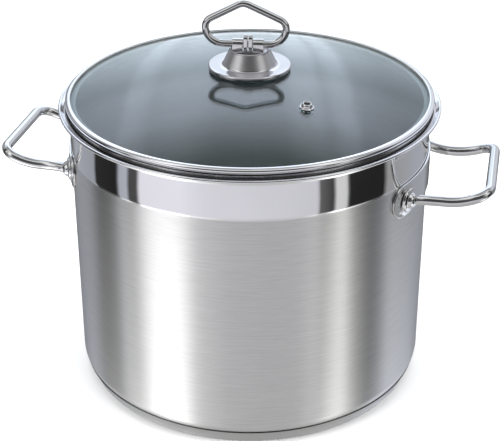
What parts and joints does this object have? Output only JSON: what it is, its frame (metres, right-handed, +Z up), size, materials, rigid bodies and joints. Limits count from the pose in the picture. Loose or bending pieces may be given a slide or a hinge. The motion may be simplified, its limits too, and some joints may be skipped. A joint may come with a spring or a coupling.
{
  "type": "water bath canner",
  "caption": "Tall polished stainless pot with an encapsulated base, two wire side handles, a domed glass lid with steel rim, vent and folding ring pull, and a lift-out wire jar rack.",
  "frame": {"origin": "centre of the base's underside, which stands on the hob", "axes": "+X towards the right side handle, -Y towards the viewer's side where the lid's vent is, +Z up"},
  "size_m": [0.4196, 0.3198, 0.3327],
  "materials": {
    "polished_steel": "mirror-polished stainless steel",
    "brushed_steel": "stainless steel, brushed round the wall below a polished band",
    "aluminium": "plain, enclosed in the base",
    "glass": "clear tempered glass",
    "silicone": "soft silicone"
  },
  "bodies": {
    "pot": {"pot_shell": "brushed_steel", "base_core": "aluminium", "base_cap": "polished_steel", "left_handle_strap": "polished_steel", "left_handle_loop": "polished_steel", "left_handle_boss_a": "polished_steel", "left_handle_boss_b": "polished_steel", "right_handle_strap": "polished_steel", "right_handle_loop": "polished_steel", "right_handle_boss_a": "polished_steel", "right_handle_boss_b": "polished_steel"},
    "lid": {"lid_glass": "glass", "lid_rim": "polished_steel", "lid_rim_gasket": "silicone", "vent_eyelet": "polished_steel", "vent_washer": "silicone", "knob_base": "polished_steel", "knob_upper_gasket": "silicone", "knob_lower_gasket": "silicone", "knob_washer": "polished_steel", "knob_screw": "polished_steel", "knob_nut": "polished_steel", "ring_clip": "polished_steel", "clip_tongue": "polished_steel"},
    "lid_ring": {"lid_ring": "polished_steel"},
    "rack": {"rack_outer_ring": "polished_steel", "rack_support_front": "polished_steel", "rack_support_rear": "polished_steel", "rack_cross_wire_1": "polished_steel", "rack_cross_wire_2": "polished_steel", "rack_cross_wire_3": "polished_steel", "rack_cross_wire_4": "polished_steel", "rack_cross_wire_5": "polished_steel", "rack_cross_wire_6": "polished_steel", "rack_cross_wire_7": "polished_steel", "rack_cross_wire_8": "polished_steel", "rack_cross_wire_9": "polished_steel", "rack_foot_1": "polished_steel", "rack_foot_2": "polished_steel", "rack_foot_3": "polished_steel", "rack_foot_4": "polished_steel", "rack_eye_front_a": "polished_steel", "rack_eye_front_b": "polished_steel", "rack_eye_rear_a": "polished_steel", "rack_eye_rear_b": "polished_steel"},
    "rack_bail_front": {"rack_bail_front": "polished_steel"},
    "rack_bail_rear": {"rack_bail_rear": "polished_steel"}
  },
  "joints": [
    {"name": "lid_lift", "type": "slide", "parent": "pot", "child": "lid", "axis": [0, 0, 1], "range_m": [0, 0.3]},
    {"name": "lid_ring_hinge", "type": "hinge", "parent": "lid", "child": "lid_ring", "pos_m": [0, 0, 0.2953], "axis": [0.9925, 0.1219, 0], "range_deg": [-108, 108]},
    {"name": "rack_lift", "type": "slide", "parent": "pot", "child": "rack", "axis": [0, 0, 1], "range_m": [0, 0.1]},
    {"name": "rack_bail_front_hinge", "type": "hinge", "parent": "rack", "child": "rack_bail_front", "pos_m": [0, -0.112, 0.0311], "axis": [1, 0, 0], "range_deg": [0, 95]},
    {"name": "rack_bail_rear_hinge", "type": "hinge", "parent": "rack", "child": "rack_bail_rear", "pos_m": [0, 0.112, 0.0311], "axis": [-1, 0, 0], "range_deg": [0, 95]}
  ]
}
